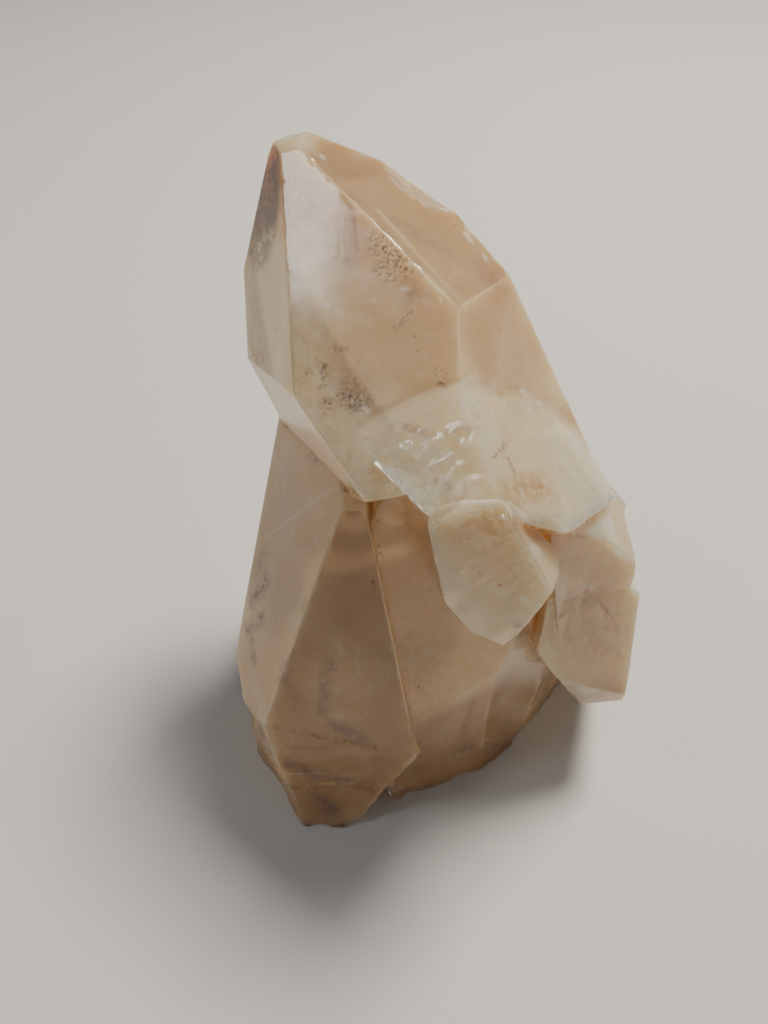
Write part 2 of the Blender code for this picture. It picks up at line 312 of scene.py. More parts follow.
    threads: Marks = marks_of(
        Tint.THREAD,
        ((0.7, -6.9, 56.9), (3.7, -4.7, 54.9), 0.42, 0.45),
        ((3.7, -4.7, 54.9), (7.1, -2.3, 52.4), 0.42, 0.3),
        ((-6.9, 8.9, 65.9), (1.2, -0.9, 61.2), 0.28, 0.5),
        ((-11.6, -7.6, 44.8), (-19.8, -3.3, 32.6), 0.25, 0.55),
        ((5.3, -17.8, 49.3), (7.2, -18.4, 46.8), 0.2, 0.6),
        ((0.9, -18.5, 45.1), (4, -19.3, 43.2), 0.22, 0.6),
        ((-2, -9.5, 41.8), (-0.6, -11.7, 35), 0.3, 0.6),
        ((-0.6, -11.7, 34.8), (2.1, -19.3, 36.9), 0.3, 0.5),
        ((3.1, -19.5, 37.2), (5.1, -19.9, 36.5), 0.35, 0.8),
        ((8.9, -19.6, 43.5), (15.5, -11.4, 33.3), 0.3, 0.6),
        ((15.5, -7.9, 8.4), (21.8, -13.9, 14.6), 0.25, 0.5),
        ((-16.2, 4.3, 59.1), (-14.7, -3.8, 54), 0.22, 0.5),
        ((-0.4, -17.8, 47.6), (2, -17.9, 48.7), 0.2, 0.35),
        ((2, -17.9, 48.7), (4.6, -18.1, 48.4), 0.2, 0.4),
        ((4.6, -18.1, 48.4), (6.8, -18.9, 45.8), 0.2, 0.45),
        ((4.5, -18.7, 46.5), (6.8, -19.6, 43.7), 0.16, 0.4),
        ((13.7, -12.4, 33), (15.9, -11.3, 33.3), 0.22, 0.7),
        ((11.4, -12.6, 32.8), (13.7, -12.4, 33), 0.22, 0.7),
        ((15.9, -11.3, 33.3), (17.3, -10.9, 32), 0.22, 0.6),
        ((-6.2, -9.9, 43.4), (-5.5, -10.1, 42.4), 0.2, 0.4),
        ((-3, 0, 61.7), (-0.8, -1.1, 61.6), 0.18, 0.3),
        ((-6.1, 16.6, 66.7), (-3.6, 17.2, 64.6), 0.25, 0.7),
        ((-2.9, 17.4, 64.3), (-0.2, 13.4, 63.9), 0.25, 0.8),
    )
    rust_stains: Marks = marks_of(
        Tint.RUST,
        ((-20.9, 9.2, 52.1), (-20.9, 8.4, 51.3), 0.8, 0.5),
        ((-20.6, 7.4, 51), (-19.1, 4.4, 51.7), 0.8, 0.9),
        ((-14.5, 0, 57.3), (-14.2, -3, 54.9), 1.3, 0.4),
        ((-13.2, -1, 56.9), (-11.4, -3.1, 55.9), 0.8, 0.5),
        ((-13.3, -4.3, 54.1), (-11.9, -5.9, 53.3), 1.2, 0.5),
        ((-11.4, -7.4, 52.2), (-9.5, -10.4, 50.4), 1.4, 0.35),
        ((4.7, -14.5, 51.4), (9.1, -10.6, 48.2), 1.6, 0.85),
        ((-7.4, -11.3, 50.4), (-7, -12.6, 48.3), 1.4, 0.35),
        ((-3.3, -19, 17.6), (1.5, -17.2, 18.5), 0.9, 0.75),
        ((-3.4, -14.8, 28.4), (-1.6, -17.3, 20.7), 2.4, 0.35),
        ((-0.7, 12.4, 64.1), (2.1, 10.6, 62.7), 0.7, 0.4),
        ((4.6, -4.1, 54.2), (7.1, -1.9, 52.7), 0.6, 0.7),
    )
    smudges: Marks = marks_of(
        Tint.SMUDGE_AND_SHADE,
        ((-20.4, -4.2, 30.8), (-21.6, -4.9, 28), 1.1, 0.45),
        ((-20, -7.1, 29.3), (-22.1, -7.3, 25), 1, 0.85),
        ((-20.6, -9.9, 25.6), (-22.8, -9.1, 22.1), 0.9, 0.9),
        ((-22.2, -10.5, 21.9), (-21.8, -12.6, 20.6), 0.8, 0.9),
        ((-17.1, -16.3, 26.2), (-17.7, -17.2, 23.6), 0.8, 0.9),
        ((-12.2, -16.5, 25.9), (-12.7, -17.1, 23.8), 0.8, 0.8),
        ((-12.9, -17.4, 23), (-13.5, -18.6, 19.4), 0.8, 0.75),
        ((-16.6, -17.4, 22.9), (-16, -18.6, 19.4), 1, 0.5),
        ((-12, -19.2, 17.3), (-9.2, -19.9, 15.4), 1.2, 0.8),
        ((-17.8, -21.2, 11.2), (-14.8, -21.7, 8.8), 1, 0.9),
        ((-13.4, -21.6, 9.1), (-9.6, -22, 7.6), 1, 0.6),
        ((-14.6, -22.7, 5.1), (-12.9, -23.5, 2.7), 1.4, 0.95),
        ((-17.6, -22.3, 6.4), (-17.3, -22.8, 5), 0.9, 0.5),
        ((-21.7, -16.3, 9.7), (-23, -15.2, 2.5), 1.1, 0.6),
        ((-4.5, 7.9, 64.9), (-0.9, 6.2, 63.3), 1.2, 0.3),
        ((-4.1, 1, 62.1), (-3.5, 0.4, 61.8), 1.1, 0.5),
        ((3.7, 6, 61.5), (4.6, 4.1, 60.8), 1.6, 0.4),
        ((-9.5, -4.7, 55.2), (-8.3, -5.9, 54.6), 2, 0.55),
        ((-19.7, 5, 50.7), (-18.9, 4, 49.6), 0.6, 0.95),
        ((-16, -0.8, 49.9), (-14.3, -2.6, 47.8), 0.7, 0.65),
        ((-9.3, 9, 66.9), (-10, 4.7, 63.1), 1.3, 0.4),
        ((-17.9, 14.5, 65.1), (-19, 13.9, 61.9), 1.3, 0.6),
        ((6.9, -20.2, 38.5), (10.1, -11.9, 24), 1.1, 0.6),
        ((-0.2, -9.9, 54.6), (2.1, -10.2, 54.8), 0.5, 0.5),
        ((-4.4, -8.5, 53.9), (-2.1, -9.8, 53.8), 0.4, 0.55),
        ((-1.5, -13.5, 51.6), (-0.7, -14, 51.6), 0.5, 0.6),
        ((4.1, -17.2, 6.6), (11.4, -13.2, 0.8), 1.8, 0.5),
        ((13, -12.9, 31), (16.7, -11.5, 31.3), 1.3, 0.25),
        ((13.5, -13.8, 26.8), (18.6, -12.7, 25.2), 3, 0.16),
        ((-5.5, 16, 66.1), (-1.3, 12.9, 64.3), 0.45, 1),
    )
    hair_lines: Marks = marks_of(
        Tint.LINE,
        ((0.5, -6.5, 57.4), (3.5, -4.4, 55.4), 0.4, 0.3),
        ((17.6, -11.3, 30.8), (19.7, -11.4, 27.8), 0.2, 0.8),
        ((19.7, -11.4, 27.8), (20.9, -11.7, 25.5), 0.2, 0.5),
        ((11.7, -12.8, 32.3), (13.8, -12.4, 32.4), 0.16, 0.5),
        ((13.8, -12.4, 32.4), (16, -11.3, 32.7), 0.16, 0.5),
        ((4.6, -18.7, 46.3), (6.7, -19.5, 43.8), 0.18, 0.35),
        ((8.1, -14.6, 46.4), (12.6, -11.4, 41.8), 0.18, 0.8),
        ((-10.1, -10.4, 44.4), (-15.3, -13.6, 32.3), 0.15, 0.5),
        ((-8.6, -10.4, 44.4), (-5.9, -14, 32.5), 0.15, 0.6),
        ((-9.2, 8, 66.2), (-8.8, 5.1, 63.9), 0.22, 0.9),
        ((-9.9, 6.2, 64.3), (-9.8, 4.5, 63), 0.2, 0.5),
    )
    grains: Marks = marks_of(
        Tint.SPECK,
        ((-6.7, 5.4, 64.9), (-6.3, 4.3, 64.1), 1.3, 1),
        ((-6.3, 4.4, 64.2), (-4.4, 2.8, 63.5), 1.2, 1),
        ((-6.7, 3.1, 62.9), (-5.6, 2.4, 62.7), 0.8, 0.8),
        ((-15.2, 7.9, 63.8), (-14.4, 5.8, 62.3), 1, 0.45),
        ((-10.6, -1.6, 57.4), (-10, -1.8, 57.6), 0.5, 0.6),
        ((-13.5, -2.3, 55.8), (-13.4, -2.6, 55.5), 0.5, 0.9),
        ((-12, -2.4, 56.2), (-12, -3.9, 55), 0.4, 1),
        ((-11.7, -5.2, 54), (-11.5, -5.6, 53.7), 0.6, 0.9),
        ((-9.7, -5.4, 54.6), (-8.3, -6.1, 54.5), 1, 0.9),
        ((-1.2, -5.5, 57.7), (-1, -6.5, 56.9), 0.5, 0.9),
        ((-5.4, -1.5, 59.5), (-3.9, -0.7, 60.8), 0.35, 0.6),
        ((4.8, -9.5, 52.4), (3.4, -11.9, 53.1), 0.3, 1),
        ((5, -10.8, 51.9), (5.5, -11.7, 51.1), 0.25, 1),
        ((13, -11.2, 41.7), (20.1, -6.6, 36.2), 0.3, 0.8),
        ((-2.4, -16.8, 22.6), (-2.4, -17, 21.9), 0.3, 0.9),
        ((-7.4, -13, 36.6), (-7.4, -13.1, 36.3), 0.25, 1),
        ((-10.1, -8.8, 46.1), (-8.7, -11.6, 48), 0.6, 0.9),
        ((-14.2, -2.1, 44.3), (-13.2, -3.7, 44.9), 0.7, 0.6),
        ((-6.7, -11.2, 40.1), (-6.6, -11.6, 39), 0.35, 0.7),
        ((-17.3, -0.6, 39.4), (-17.2, -4, 37), 2, 0.25),
        ((-15.2, 12.1, 67.4), (-13.6, 6.4, 63.2), 2.6, 0.3),
    )
    # painted highlights: near-white spots and short streaks standing in for glints of light
    painted_glints: Marks = marks_of(
        Tint.PAINTED_GLINT,
        ((-12.2, 14.1, 68.7), (-12.4, 14.4, 68.8), 0.3, 1),
        ((1.8, 10.4, 62.8), (2.3, 9.5, 62.5), 0.35, 1),
        ((3.6, 7.8, 61.8), (3.7, 7.4, 61.7), 0.25, 0.9),
        ((-11.7, 1.9, 60), (-11.6, 1.8, 59.9), 0.28, 1),
        ((-10.9, 1.4, 59.9), (-10.3, 0.9, 59.7), 0.22, 0.7),
        ((-4.7, 1.2, 62.1), (-4.2, 1.1, 62.2), 0.3, 0.8),
        ((-8, -6.5, 54.3), (-7.8, -6.7, 54.1), 0.3, 0.9),
        ((-17.8, 7.8, 58.7), (-17.4, 6.8, 58.7), 0.22, 0.7),
        ((9.3, -1, 50.5), (10, -0.7, 49.9), 0.3, 1),
        ((12.3, -0.8, 47.2), (11.7, -1.8, 47.7), 0.22, 0.9),
        ((-4.4, -13.7, 50.5), (-2.9, -9, 43.5), 0.3, 0.9),
        ((-2.2, -9.2, 42.5), (-1.9, -9.3, 42.1), 0.25, 0.9),
        ((19.9, -4.4, 36.9), (20, -4.5, 36.7), 0.35, 1),
        ((18.4, -9.6, 37.4), (19, -9.4, 36.4), 0.35, 1),
        ((6.4, -19.7, 42.7), (6.8, -19.8, 42.5), 0.25, 1),
        ((15.5, -11.3, 33.9), (16.1, -11.2, 33.4), 0.22, 1),
        ((15.6, -12.5, 29.1), (15.7, -12.6, 28.8), 0.18, 0.9),
        ((7.2, -1.8, 52.6), (7.6, -1.5, 52.4), 0.28, 1),
        ((21.7, -12.2, 23.2), (22.1, -12.4, 22.2), 0.18, 0.8),
        ((-5.7, -7.8, 54), (-5.4, -7.7, 54.2), 0.28, 0.9),
        ((-13.9, -5.3, 52.8), (-13, -6.1, 51.3), 0.2, 0.6),
        ((-2.2, 17.2, 63.9), (-1.9, 16.9, 63.8), 0.2, 0.9),
    )
    smoky_spots: Marks = marks_of(
        Tint.SMOKE,
        ((7.4, -16, 48.3), (10.5, -12.9, 43.7), 1.3, 0.9),
        ((-7.7, -8.9, 44.1), (-7.6, -10.3, 42.8), 1.1, 0.9),
        ((11.2, -14.3, 27.6), (11.4, -13.5, 30.3), 1.2, 0.6),
        ((0.7, -17.3, 50.7), (4.2, -17.2, 51.3), 2.4, 0.7),
        ((-0.3, -17.4, 49.6), (1.2, -17.4, 50.6), 1.6, 0.4),
        ((1.7, -17.6, 49.8), (5.2, -17.7, 49.6), 1.6, 0.4),
        ((6.1, -18.2, 48), (8.2, -18.3, 45.4), 0.9, 0.35),
    )
    single_grains: Marks = dots_of(
        Tint.SPECK,
        ((0.1, -3.9, 59.5), 0.22, 1), ((6.6, 4, 58.1), 0.22, 1), ((-3.4, -2.5, 59.5), 0.2, 1),
    )
    # more painted highlights, as round spots
    single_painted_glints: Marks = dots_of(
        Tint.PAINTED_GLINT,
        ((-7.1, 1.1, 61), 0.2, 0.8), ((-5.6, 2.2, 62.6), 0.2, 0.8), ((-3.8, 2.8, 63.7), 0.2, 0.8),
        ((-1.1, -0.6, 61.9), 0.18, 0.8), ((-7.2, -3.6, 57), 0.16, 1), ((-12.3, 1, 59), 0.16, 0.9),
        ((-0.1, 13.1, 63.9), 0.3, 1), ((-21.1, 13.5, 56), 0.25, 1), ((-21.2, 11, 53.2), 0.25, 1),
        ((8.1, -2.3, 51.1), 0.2, 1), ((8.5, -3.8, 50.5), 0.18, 1), ((3.9, -19.3, 43.2), 0.18, 1),
        ((12.8, -12.4, 35), 0.15, 1),
    )
    # The ledge's crest: its paler tone, with painted highlight and painted shade that draw its edge
    ledge_rim: Marks = (
        *chain_of(
            Tint.CLOUD_AND_LIGHT, 1.25, 0.8,
            (-7.8, -8.3, 52.8), (-5.1, -8.2, 53.9), (-2.8, -7.8, 55.1), (-0.6, -7.6, 56.1),
            (3.3, -5.6, 54.8), (7.8, -2.1, 51.5), (11.4, -0.8, 48.2), (14.9, 0.1, 44.5),
        ),
        # painted highlight: bright threads along the crest, in this chain and the next
        *chain_of(
            Tint.THREAD, 0.42, 0.6,
            (-8.3, -8, 52.8), (-6.2, -7.4, 54.1), (-3.9, -7, 55.4), (-1.7, -6.8, 56.4),
            (0.7, -6.9, 56.9),
        ),
        *chain_of(
            Tint.THREAD, 0.2, 0.45,
            (-8, -7.6, 53.3), (-5.3, -7.6, 54.4), (-3, -7.2, 55.6), (-0.8, -6.9, 56.6), (3.1, -5, 55.4),
            (7.6, -1.6, 52.2), (11.1, -0.1, 48.8), (14.7, 0.9, 45),
        ),
        # painted shade: a dark line just above the crest
        *chain_of(
            Tint.LINE, 0.4, 0.4,
            (-8.5, -7.5, 53.2), (-6.4, -7, 54.5), (-4.1, -6.5, 55.7), (-1.8, -6.3, 56.7),
            (0.5, -6.5, 57.4),
        ),
        *chain_of(
            Tint.SMOKE, 0.8, 0.4,
            (-8.1, -7, 53.8), (-5.4, -7, 54.8), (-3.1, -6.6, 56), (-0.9, -6.3, 57.1), (3, -4.5, 55.9),
            (7.5, -1.1, 52.8), (11, 0.4, 49.5), (14.6, 1.5, 45.7),
        ),
    )

    @property
    def tones(self) -> Tones:
        """All the tones."""
        coloured = self.smoke_and_shade_tones + self.cloud_and_light_tones + self.rusty_tones + self.painted_shade_tones
        return coloured + self.broken_ground

    @property
    def marks(self) -> Marks:
        """All the single marks.

        Returns:
            The marks, the broad ones first.
        """
        drawn = self.clouds + self.threads + self.rust_stains + self.smudges + self.smoky_spots
        small = self.hair_lines + self.grains + self.single_grains + self.painted_glints + self.single_painted_glints
        return drawn + small + self.ledge_rim

    def amount(self, tint: Tint, places: np.ndarray, normals: np.ndarray) -> np.ndarray:
        """How much of one tint each place holds.

        Args:
            tint: The kind of mark.
            places: Places in millimetres, one row each.
            normals: The surface's directions there.

        Returns:
            The amounts, from 0 to 1.
        """
        total = np.zeros(len(places))
        for tone in self.tones:
            if tone.tint is tint:
                total = np.maximum(total, tone.weight_on(places, normals))
        for mark in self.marks:
            if mark.tint is tint:
                boxed = mark.boxed(places)
                total[boxed] = np.maximum(total[boxed], mark.weight(places[boxed]))
        return total

    def near_thin(self, places: np.ndarray) -> np.ndarray:
        """Which places a thin mark touches.

        Args:
            places: Places in millimetres, one row each.

        Returns:
            True for each place that one does.
        """
        is_near = np.zeros(len(places), bool)
        for mark in self.marks:
            if mark.tint in THIN_TINTS:
                boxed = mark.boxed(places)
                is_near[boxed] |= mark.distance(places[boxed]) < MARK_FADE * mark.reach
        return is_near


@dataclass(frozen=True)
class Pattern:
    """Noise through the stone: waves a millimetre, octaves, distortion, and its stretch along each axis."""

    scale: float
    detail: float
    twist: float = 0.0
    stretch: Sequence[float] = (1, 1, 1)


@dataclass(frozen=True)
class Rise:
    """A soft rise: what goes from low to high becomes bottom to top."""

    low: float
    high: float
    bottom: float = 0.0
    top: float = 1.0


class Web:
    """A short way to lay shader nodes."""

    def __init__(self, material: bpy.types.Material) -> None:
        """Starts on a material's own nodes.

        Args:
            material: The material to lay them in.
        """
        self.nodes = material.node_tree.nodes
        self.links = material.node_tree.links
        coordinates = self.nodes.new("ShaderNodeTexCoord")
        scale = self.nodes.new("ShaderNodeVectorMath")
        scale.operation = "SCALE"
        scale.inputs["Scale"].default_value = 1 / MM
        self.links.new(coordinates.outputs["Object"], scale.inputs[0])
        self.place = scale.outputs[0]

    def join(self, source: object, socket: bpy.types.NodeSocket) -> None:
        """Links a socket, or sets a plain value.

        Args:
            source: A socket or a plain value.
            socket: The input that takes it.
        """
        if isinstance(source, bpy.types.NodeSocket):
            self.links.new(source, socket)
        else:
            socket.default_value = source

    def amount(self, name: str) -> bpy.types.NodeSocket:
        """Reads a point amount.

        Args:
            name: The amount's name.

        Returns:
            Its value.
        """
        node = self.nodes.new("ShaderNodeAttribute")
        node.attribute_name = name
        return node.outputs["Fac"]

    def math(self, operation: str, *values: object) -> bpy.types.NodeSocket:
        """One Math node.

        Args:
            operation: The node's operation.
            values: Sockets or plain numbers for its inputs.

        Returns:
            Its output.
        """
        node = self.nodes.new("ShaderNodeMath")
        node.operation = operation
        for value, socket in zip(values, node.inputs):
            self.join(value, socket)
        return node.outputs[0]

    def noise(self, pattern: Pattern) -> bpy.types.NodeSocket:
        """One Noise node over the stone.

        Args:
            pattern: What the noise is like.

        Returns:
            Its value, about 0.5 in the middle.
        """
        node = self.nodes.new("ShaderNodeTexNoise")
        node.inputs["Scale"].default_value = pattern.scale
        node.inputs["Detail"].default_value = pattern.detail
        node.inputs["Distortion"].default_value = pattern.twist
        grid = self.nodes.new("ShaderNodeVectorMath")
        grid.operation = "MULTIPLY"
        grid.inputs[1].default_value = pattern.stretch
        self.links.new(self.place, grid.inputs[0])
        self.links.new(grid.outputs[0], node.inputs["Vector"])
        return node.outputs["Fac"]

    def ramp(self, value: bpy.types.NodeSocket, rise: Rise) -> bpy.types.NodeSocket:
        """Maps a value along a soft rise.

        Args:
            value: The value's socket.
            rise: The rise.

        Returns:
            The mapped value.
        """
        node = self.nodes.new("ShaderNodeMapRange")
        node.interpolation_type = "SMOOTHSTEP"
        node.inputs["From Min"].default_value = rise.low
        node.inputs["From Max"].default_value = rise.high
        node.inputs["To Min"].default_value = rise.bottom
        node.inputs["To Max"].default_value = rise.top
        self.join(value, node.inputs["Value"])
        return node.outputs["Result"]

    def patchy(self, name: str, value: bpy.types.NodeSocket, rise: Rise) -> bpy.types.NodeSocket:
        """A point amount, broken up by a value.

        Args:
            name: The amount's name.
            value: What breaks it up.
            rise: How the value does so.

        Returns:
            The amount times the mapped value.
        """
        return self.math("MULTIPLY", self.amount(name), self.ramp(value, rise))

    def blend(self, share: object, under: object, over: Colour) -> bpy.types.NodeSocket:
        """Lays a colour over another.

        Args:
            share: How much of it, from 0 to 1.
            under: The colour below, a socket or a colour.
            over: The colour laid on.

        Returns:
            The mixed colour.
        """
        node = self.nodes.new("ShaderNodeMix")
        node.data_type = "RGBA"
        self.join(share, node.inputs["Factor"])
        self.join(under if isinstance(under, bpy.types.NodeSocket) else (*under, 1.0), node.inputs["A"])
        self.join((*over, 1.0), node.inputs["B"])
        return node.outputs["Result"]


@dataclass(frozen=True)
class QuartzFinish:
    """Milky quartz with a faint brown haze: see-through stone with clouds, rust, smudges and grains in it,
    and painted shade, painted light and painted highlights in its colour.
    """

    body: Colour = (0.84, 0.605, 0.35)
    pale: Colour = (0.90, 0.725, 0.485)
    # the brown of the haze and of the painted shade
    smoke_and_shade_brown: Colour = (0.42, 0.26, 0.13)
    # the milky white of clouds, wisps, threads and worn edges; also the painted light and painted highlights
    milk_and_light: Colour = (0.94, 0.85, 0.66)
    rust: Colour = (0.60, 0.38, 0.14)
    # the grey-brown of the dark clouds and of the painted shade on the clearer corner
    smudge_and_shade: Colour = (0.24, 0.16, 0.15)
    grain: Colour = (0.17, 0.125, 0.10)
    # the near-white of the painted highlights
    painted_glint_white: Colour = (1.0, 0.98, 0.94)
    ior: float = 1.544
    see_through: float = 0.46
    absorbed: Colour = (0.94, 0.84, 0.66)
    absorbed_per_metre: float = 12.0
    scatter: Colour = (1.0, 0.68, 0.45)
    scatter_depth: float = 9.0
    drift: Pattern = Pattern(0.11, 3.0, 0.8)
    wisps: Pattern = Pattern(0.45, 5.0, 1.6)
    grit: Pattern = Pattern(2.6, 3.0, 0.4)
    veils: Pattern = Pattern(0.16, 2.0, 0.9, (1.0, 0.7, 0.45))
    smudge_and_shade_breaks: Pattern = Pattern(0.8, 4.0, 1.2)
    rust_breaks: Pattern = Pattern(1.1, 4.0, 0.8)
    dust: Pattern = Pattern(1.9, 2.0, 0.3)
    wear: Pattern = Pattern(0.5, 2.0)
    pale_rise: Rise = Rise(0.3, 0.7, 0.0, 0.75)
    wisp_rise: Rise = Rise(0.52, 0.72, 0.0, 0.28)
    smoke_and_shade_rise: Rise = Rise(0.2, 0.8, 1.0, 0.75)
    cloud_and_light_rise: Rise = Rise(0.25, 0.6, 0.55, 1.0)
    veil_rise: Rise = Rise(0.0, 0.014, 0.16, 0.0)
    veil_ground: Rise = Rise(0.42, 0.6)
    smudge_and_shade_rise: Rise = Rise(0.36, 0.60, 0.3, 1.0)
    rust_rise: Rise = Rise(0.36, 0.62, 0.25, 1.0)
    dust_rise: Rise = Rise(0.70, 0.76, 0.0, 0.5)
    speck_rise: Rise = Rise(0.40, 0.68)
    wear_rise: Rise = Rise(0.4, 0.6, 0.05, 0.3)
    line_and_shade_share: float = 0.7
    thread_and_highlight_share: float = 0.8
    painted_glint_share: float = 0.6
    roughness: Rise = Rise(0.0, 1.0, 0.10, 0.40)
    wisp_roughness: Rise = Rise(0.3, 0.7, 0.0, 0.08)
    bump_strength: float = 0.25
    bump_height: float = 0.05
    wisp_bump: float = 0.6

    def make(self) -> bpy.types.Material:
        """Builds the stone's material.

        Returns:
            The material, with one Principled shader.
        """
        material = bpy.data.materials.new("quartz_finish")
        material.use_nodes = True
        web = Web(material)
        shader = web.nodes["Principled BSDF"]
        drift, wisps, grit = web.noise(self.drift), web.noise(self.wisps), web.noise(self.grit)
        web.join(self.colour(web, drift, wisps, grit), shader.inputs["Base Color"])
        rough = web.ramp(web.amount(Tint.BROKEN.value), self.roughness)
        web.join(web.math("ADD", rough, web.ramp(wisps, self.wisp_roughness)), shader.inputs["Roughness"])
        web.join(self.bumps(web, wisps, grit), shader.inputs["Normal"])
        shader.inputs["Transmission Weight"].default_value = self.see_through
        shader.inputs["IOR"].default_value = self.ior
        shader.inputs["Subsurface Weight"].default_value = 1.0
        shader.inputs["Subsurface Radius"].default_value = self.scatter
        shader.inputs["Subsurface Scale"].default_value = self.scatter_depth * MM
        depth = web.nodes.new("ShaderNodeVolumeAbsorption")
        depth.inputs["Color"].default_value = (*self.absorbed, 1.0)
        depth.inputs["Density"].default_value = self.absorbed_per_metre
        web.links.new(depth.outputs["Volume"], web.nodes["Material Output"].inputs["Volume"])
        return material

    def colour(
        self,
        web: Web,
        drift: bpy.types.NodeSocket,
        wisps: bpy.types.NodeSocket,
        grit: bpy.types.NodeSocket,
    ) -> bpy.types.NodeSocket:
        """Lays the stone's tints over one another, the body first. Some layers carry painted shade, painted
        light and painted highlights.

        Args:
            web: The material's nodes.
            drift: The slow noise.
            wisps: The finer, twisted noise.
            grit: The finest noise.

        Returns:
            The colour.
        """
        cloud_and_light = web.patchy(Tint.CLOUD_AND_LIGHT.value, wisps, self.cloud_and_light_rise)
        veil = web.math("ABSOLUTE", web.math("SUBTRACT", web.noise(self.veils), 0.5))
        veil = web.math("MULTIPLY", web.ramp(veil, self.veil_rise), web.ramp(drift, self.veil_ground))
        layers = (
            (web.ramp(drift, self.pale_rise), self.pale),
            (web.ramp(wisps, self.wisp_rise), self.milk_and_light),
            # browner haze, with painted shade on dim faces, near the floor and on the clearer corner
            (web.patchy(Tint.SMOKE.value, drift, self.smoke_and_shade_rise), self.smoke_and_shade_brown),
            # milky clouds and veils, with painted light on one dim face
            (web.math("MAXIMUM", cloud_and_light, veil), self.milk_and_light),
            # dark clouds, with painted shade on the clearer left corner
            (web.patchy(Tint.SMUDGE_AND_SHADE.value, web.noise(self.smudge_and_shade_breaks), self.smudge_and_shade_rise), self.smudge_and_shade),
            (web.patchy(Tint.RUST.value, web.noise(self.rust_breaks), self.rust_rise), self.rust),
            # dark hair lines, with painted shade along the ledge's crest
            (web.math("MULTIPLY", web.amount(Tint.LINE.value), self.line_and_shade_share), self.smoke_and_shade_brown),
            (web.ramp(web.noise(self.dust), self.dust_rise), self.grain),
            (web.patchy(Tint.SPECK.value, grit, self.speck_rise), self.grain),
            # milky threads, with painted highlight along the ledge's crest
            (web.math("MULTIPLY", web.amount(Tint.THREAD.value), self.thread_and_highlight_share), self.milk_and_light),
            # painted highlights
            (web.math("MULTIPLY", web.amount(Tint.PAINTED_GLINT.value), self.painted_glint_share), self.painted_glint_white),
            (web.patchy(EDGE, web.noise(self.wear), self.wear_rise), self.milk_and_light),
        )
        colour = self.body
        for share, over in layers:
            colour = web.blend(share, colour, over)
        return colour

    def bumps(
        self, web: Web, wisps: bpy.types.NodeSocket, grit: bpy.types.NodeSocket
    ) -> bpy.types.NodeSocket:
        """Roughens the surface a little: softly all over, and with grit on broken ground.

        Args:
            web: The material's nodes.
            wisps: The finer, twisted noise.
            grit: The finest noise.

        Returns:
            The bumped direction.
        """
        bump = web.nodes.new("ShaderNodeBump")
        bump.inputs["Strength"].default_value = self.bump_strength
        bump.inputs["Distance"].default_value = self.bump_height * MM
        soft = web.math("MULTIPLY", wisps, self.wisp_bump)
        gritty = web.math("MULTIPLY", grit, web.amount(Tint.BROKEN.value))
        web.join(web.math("ADD", soft, gritty), bump.inputs["Height"])
        return bump.outputs["Normal"]


@dataclass(frozen=True)
class Ripples:
    """Shell-like ripples of broken quartz: rings round a far centre, over the ground near a middle, in mm."""

    centre: Sequence[float]
    middle: Sequence[float]
    reach: float
    pitch: float
    depth: float
    sharpness: float = 1.5
    wandering: float = 3.2

    def sink(self, places: np.ndarray, wander: np.ndarray) -> np.ndarray:
        """How deep each place lies.

        Args:
            places: Places in millimetres, one row each.
            wander: Noise that bends the rings.

        Returns:
            The depths in millimetres.
        """
        away = np.linalg.norm(places - np.array(self.centre), axis=1)
        fade = clipped(1.5 - np.linalg.norm(places - np.array(self.middle), axis=1) / self.reach)
        wave = 0.5 - 0.5 * np.cos(2 * math.pi * away / self.pitch + self.wandering * wander)
        return self.depth * fade * wave**self.sharpness


@dataclass(frozen=True)
class GrowthLines:
    """Fine steps across the faces that look one way, a pitch apart along an axis, in mm and degrees."""

    middle: Sequence[float]
    reach: float
    axis: Sequence[float]
    pitch: float
    depth: float
    facing: Facing
    spread: float
    tread: float = 0.75
    wandering: float = 0.35

    def sink(self, places: np.ndarray, normals: np.ndarray, wander: np.ndarray) -> np.ndarray:
        """How deep each place lies.

        Args:
            places: Places in millimetres, one row each.
            normals: The surface's directions there.
            wander: Noise that bends the lines.

        Returns:
            The depths in millimetres.
        """
        offset = places - np.array(self.middle)
        axis = np.array(self.axis) / np.linalg.norm(self.axis)
        along = offset @ axis / self.pitch + self.wandering * wander
        fade = clipped(2.0 - 1.5 * np.linalg.norm(offset, axis=1) / self.reach)
        on_step = along - np.floor(along)
        step = clipped(on_step / self.tread) - clipped((on_step - self.tread) / (1.0 - self.tread))
        return self.depth * fade * step * (degrees_off(normals, self.facing) < self.spread)


@dataclass(frozen=True)
class SmoothSlope:
    """Ground that is worn smooth, near a line from start to end, in millimetres."""

    start: Sequence[float]
    end: Sequence[float]
    reach: float
    rounds: int
    most_give: float = 0.7

    def settle(self, places: np.ndarray, faces: np.ndarray) -> np.ndarray:
        """Evens the ground out.

        Args:
            places: The corners, in millimetres.
            faces: The triangles.

        Returns:
            The corners' new places.
        """
        away = Mark(Tint.BROKEN, self.start, self.end, self.reach, 1.0).distance(places)
        give = clipped(1.6 - 1.2 * away / self.reach)[:, None] * self.most_give
        sides = np.concatenate([faces[:, [0, 1]], faces[:, [1, 2]], faces[:, [2, 0]]])
        here, there = sides.T
        count = np.bincount(here, minlength=len(places))[:, None]
        for _ in range(self.rounds):
            total = [np.bincount(here, weights=places[there, i], minlength=len(places)) for i in range(3)]
            places = places + give * (np.stack(total, axis=1) / count - places)
        return places


